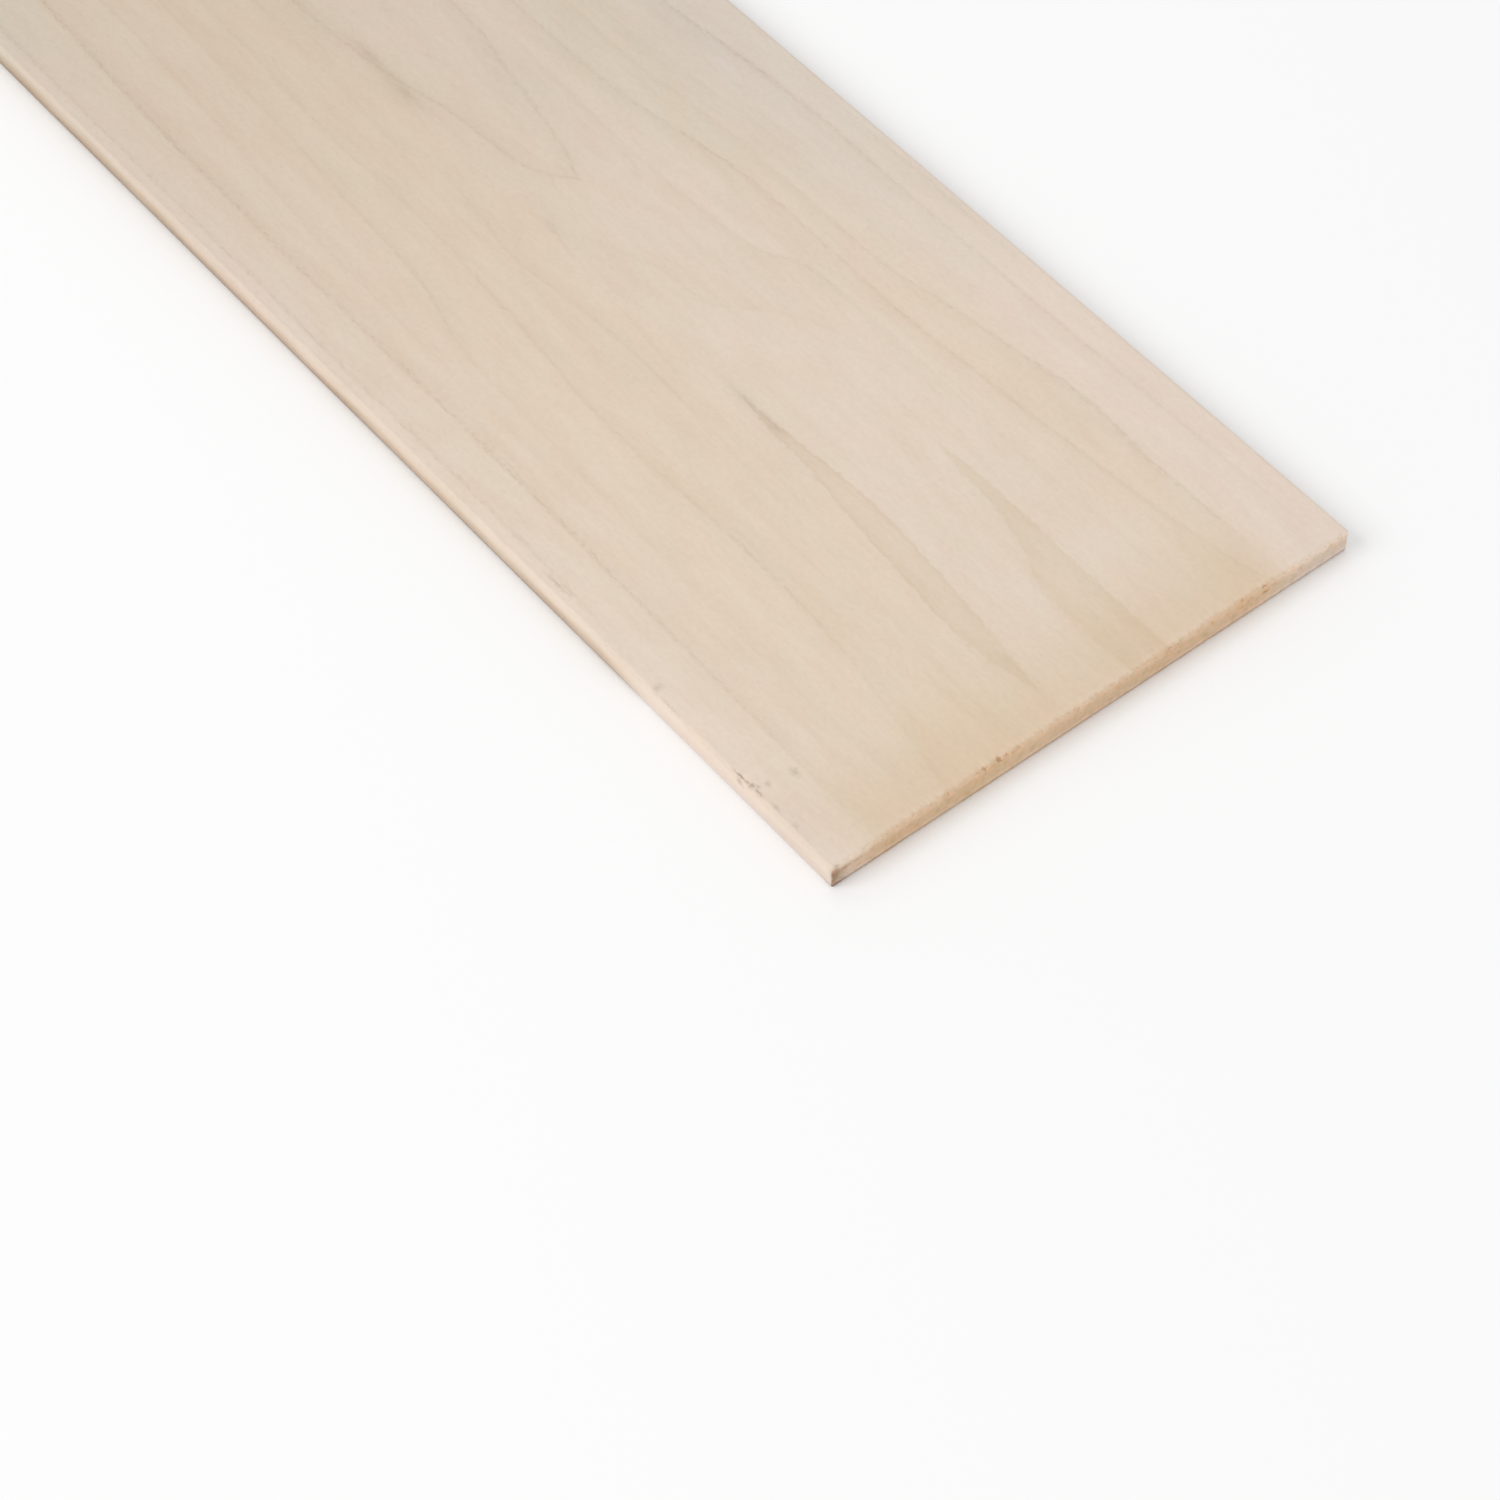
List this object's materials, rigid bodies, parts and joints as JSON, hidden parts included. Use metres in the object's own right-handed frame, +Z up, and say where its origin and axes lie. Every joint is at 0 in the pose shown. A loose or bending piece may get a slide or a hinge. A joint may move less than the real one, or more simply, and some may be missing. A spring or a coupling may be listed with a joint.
{
  "type": "poplar board",
  "caption": "Thin planed poplar board with square-sawn ends and lightly eased edges, for shelves, drawers, trim and craft work.",
  "frame": {"origin": "centre of the underside, on the surface that the board lies on", "axes": "+X along the grain and the length, +Y across the width, +Z up through the thickness"},
  "size_m": [0.9144, 0.1396, 0.0063],
  "materials": {
    "poplar": "bare planed wood, matt"
  },
  "bodies": {
    "root": {"poplar_board": "poplar"}
  },
  "joints": []
}
